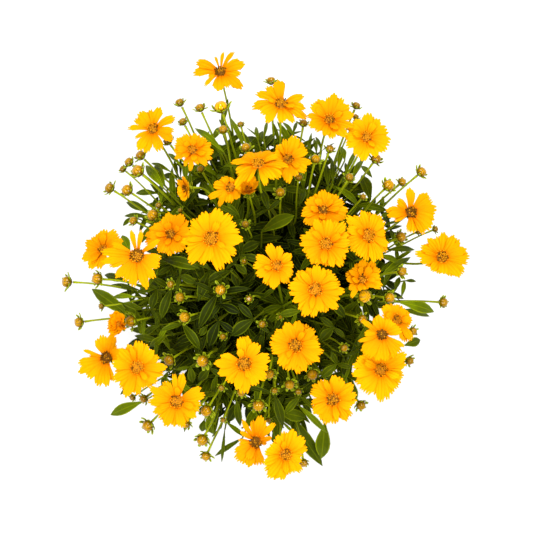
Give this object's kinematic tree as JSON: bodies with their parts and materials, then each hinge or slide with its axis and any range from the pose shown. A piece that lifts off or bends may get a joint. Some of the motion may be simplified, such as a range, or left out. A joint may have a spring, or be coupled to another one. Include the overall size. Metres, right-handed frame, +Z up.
{
  "type": "potted coreopsis",
  "caption": "Bushy perennial in full flower: golden toothed-petalled daisies and round buds on slim stalks over narrow dark leaves, in a plain nursery pot.",
  "frame": {"origin": "centre of the pot's foot, on the surface it stands on", "axes": "+Z up along the pot's axis; -Y is the side at the lower edge of the picture"},
  "size_m": [0.4202, 0.4605, 0.4407],
  "materials": {
    "pot": "black polypropylene, slightly satin",
    "soil": "dark moist potting soil, crumbly and matt",
    "green": "dark green leaves with paler midribs, yellow-green stalks, olive to orange buds",
    "ray": "golden yellow toothed rays, deeper orange towards the disc"
  },
  "bodies": {
    "root": {"pot": "pot", "soil": "soil", "leafy_stem_01": "green", "leafy_stem_02": "green", "leafy_stem_03": "green", "leafy_stem_04": "green", "leafy_stem_05": "green", "leafy_stem_06": "green", "leafy_stem_07": "green", "leafy_stem_08": "green", "leafy_stem_09": "green", "leafy_stem_10": "green", "leafy_stem_11": "green", "leafy_stem_12": "green", "leafy_stem_13": "green", "leafy_stem_14": "green", "leafy_stem_15": "green", "leafy_stem_16": "green", "leafy_stem_17": "green", "leafy_stem_18": "green", "leafy_stem_19": "green", "leafy_stem_20": "green", "bloom_01": "ray", "bloom_02": "ray", "bloom_03": "ray", "bloom_04": "ray", "bloom_05": "ray", "bloom_06": "ray", "bloom_07": "ray", "bloom_08": "ray", "bloom_09": "ray", "bloom_10": "ray", "bloom_11": "ray", "bloom_12": "ray", "bloom_13": "ray", "bloom_14": "ray", "bloom_15": "ray", "bloom_16": "ray", "bloom_17": "ray", "bloom_18": "ray", "bloom_19": "ray", "bloom_20": "ray", "bloom_21": "ray", "bloom_22": "ray", "bloom_23": "ray", "bloom_24": "ray", "bloom_25": "ray", "bloom_26": "ray", "bloom_27": "ray", "bloom_28": "ray", "bloom_29": "ray", "bloom_30": "ray", "bloom_31": "ray", "bloom_32": "ray", "bloom_33": "ray", "bloom_34": "ray", "bloom_35": "ray"}
  },
  "joints": []
}
